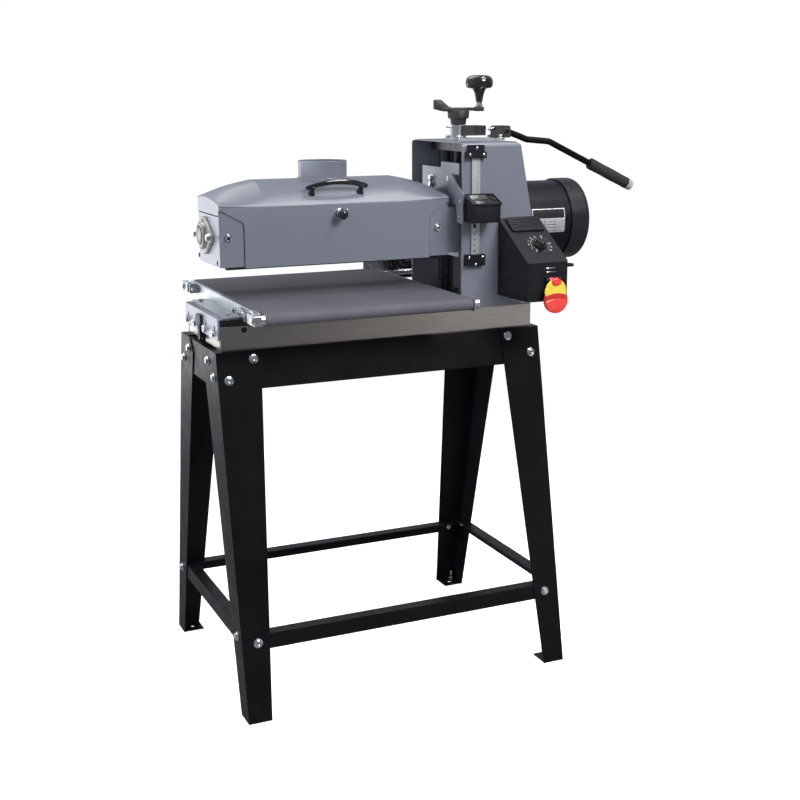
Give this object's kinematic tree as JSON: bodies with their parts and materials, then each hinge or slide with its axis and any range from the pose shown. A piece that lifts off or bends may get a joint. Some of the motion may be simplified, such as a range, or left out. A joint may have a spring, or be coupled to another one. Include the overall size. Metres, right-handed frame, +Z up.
{
  "type": "open-end drum sander",
  "caption": "Open-end drum sander with a powered abrasive conveyor, hinged dust cover with hose port, crank-raised head, lever lock and an open splayed-leg steel stand.",
  "frame": {"origin": "on the floor, at the centre of the rectangle of the four foot anchor holes", "axes": "+Z up; +X along the drum from its free outboard end towards the motor; -Y is the infeed side, where the operator stands"},
  "size_m": [1.0569, 0.5595, 1.2633],
  "materials": {
    "black_powder": "satin",
    "stainless": "brushed",
    "zinc": "bright zinc",
    "grey_paint": "semi-gloss",
    "bolt_zinc": "bright zinc",
    "belt_abrasive": "abrasive",
    "roller_steel": "ground",
    "black_plastic": "matte",
    "gloss_black": "gloss",
    "cast_black": "painted",
    "drum_metal": "machined",
    "drum_abrasive": "abrasive",
    "roller_rubber": "matte",
    "motor_black": "satin",
    "grip_foam": "matte",
    "white_plastic": "gloss",
    "scale_plate": "satin",
    "red_plastic": "gloss",
    "gearbox_grey": "cast",
    "lead_black": "matte"
  },
  "bodies": {
    "stand": {"leg_front_left": "black_powder", "leg_front_right": "black_powder", "leg_rear_left": "black_powder", "leg_rear_right": "black_powder", "rail_front": "black_powder", "rail_rear": "black_powder", "rail_left": "black_powder", "rail_right": "black_powder", "stretcher_front": "black_powder", "stretcher_rear": "black_powder", "stretcher_left": "black_powder", "stretcher_right": "black_powder", "stand_bolts": "bolt_zinc", "base_channel": "stainless", "outboard_bracket": "grey_paint", "height_key": "black_plastic", "conveyor_bed": "zinc", "conveyor_rail_outboard": "zinc", "conveyor_rail_inboard": "zinc", "take_up_blocks": "zinc", "conveyor_screws": "bolt_zinc", "conveyor_belt": "belt_abrasive", "gearmotor": "gearbox_grey", "gearmotor_leads": "lead_black", "column_cover": "grey_paint", "guide_posts": "roller_steel", "top_bearing_plate": "zinc", "lock_clamp": "cast_black", "lock_link": "cast_black", "depth_scale": "scale_plate", "scale_brackets": "black_plastic", "control_box": "black_plastic"},
    "drive_roller_body": {"drive_roller": "roller_steel"},
    "idler_roller_body": {"idler_roller": "roller_steel"},
    "crank": {"lead_screw": "roller_steel", "crank_arm": "cast_black"},
    "crank_knob_body": {"crank_knob": "gloss_black"},
    "lever": {"lock_lever": "black_powder", "lever_grip": "grip_foam", "lever_cap": "white_plastic"},
    "head": {"head_carriage": "grey_paint", "head_frame": "grey_paint", "head_bracket": "grey_paint", "drum_bearings": "roller_steel", "motor_body": "motor_black", "motor_fan_cover": "motor_black", "readout_bracket": "grey_paint", "readout_box": "black_plastic"},
    "drum": {"sanding_drum": "drum_metal", "abrasive_wrap": "drum_abrasive"},
    "front_roller": {"pressure_roller_front": "roller_rubber"},
    "rear_roller": {"pressure_roller_rear": "roller_rubber"},
    "cover": {"dust_cover": "grey_paint", "dust_port": "grey_paint", "cover_handle": "black_plastic"},
    "latch": {"latch_knob": "gloss_black"},
    "readout_key": {"readout_button": "black_plastic"},
    "dial": {"speed_dial": "black_plastic"},
    "paddle": {"stop_paddle": "red_plastic"},
    "reset": {"reset_button": "gloss_black"}
  },
  "joints": [
    {"name": "head_lift", "type": "slide", "parent": "stand", "child": "head", "axis": [0, 0, 1], "range_m": [-0.06, 0.015]},
    {"name": "crank_turn", "type": "hinge", "parent": "stand", "child": "crank", "pos_m": [0.231, 0, 1.14], "axis": [0, 0, 1], "range_deg": [-13680, 3480]},
    {"name": "knob_spin", "type": "hinge", "parent": "crank", "child": "crank_knob_body", "pos_m": [0.281, 0, 1.22], "axis": [0, 0, 1], "continuous": true},
    {"name": "lock_swing", "type": "hinge", "parent": "stand", "child": "lever", "pos_m": [0.343, 0, 1.144], "axis": [0, -1, 0], "range_deg": [0, 75]},
    {"name": "drum_spin", "type": "hinge", "parent": "head", "child": "drum", "pos_m": [0, 0, 0.948], "axis": [1, 0, 0], "continuous": true},
    {"name": "front_roller_spin", "type": "hinge", "parent": "head", "child": "front_roller", "pos_m": [0, -0.074, 0.8995], "axis": [1, 0, 0], "continuous": true},
    {"name": "rear_roller_spin", "type": "hinge", "parent": "head", "child": "rear_roller", "pos_m": [0, 0.074, 0.8995], "axis": [1, 0, 0], "continuous": true},
    {"name": "cover_hinge", "type": "hinge", "parent": "head", "child": "cover", "pos_m": [0, 0.0995, 0.936], "axis": [-1, 0, 0], "range_deg": [0, 80]},
    {"name": "latch_turn", "type": "hinge", "parent": "cover", "child": "latch", "pos_m": [-0.085, -0.1, 0.989], "axis": [0, -1, 0], "range_deg": [0, 90]},
    {"name": "drive_spin", "type": "hinge", "parent": "stand", "child": "drive_roller_body", "pos_m": [0, 0.248, 0.811], "axis": [1, 0, 0], "continuous": true},
    {"name": "idler_spin", "type": "hinge", "parent": "stand", "child": "idler_roller_body", "pos_m": [0, -0.248, 0.811], "axis": [1, 0, 0], "continuous": true},
    {"name": "dial_turn", "type": "hinge", "parent": "stand", "child": "dial", "pos_m": [0.32, -0.20436, 0.91678], "axis": [0, 0.5347, -0.845], "range_deg": [0, 280]},
    {"name": "paddle_lift", "type": "hinge", "parent": "stand", "child": "paddle", "pos_m": [0.323, -0.259, 0.85], "axis": [-1, 0, 0], "range_deg": [0, 75]},
    {"name": "reset_press", "type": "slide", "parent": "stand", "child": "reset", "axis": [-1, 0, 0], "range_m": [0, 0.0017], "stiffness_N_per_m": 600},
    {"name": "readout_press", "type": "slide", "parent": "head", "child": "readout_key", "axis": [0, 0.3964, -0.9181], "range_m": [0, 0.001], "stiffness_N_per_m": 400}
  ],
  "couplings": [
    {"joint": "crank_turn", "follows": "head_lift", "rad_per_m": 3957.9},
    {"joint": "idler_spin", "follows": "drive_spin", "ratio": 1}
  ]
}
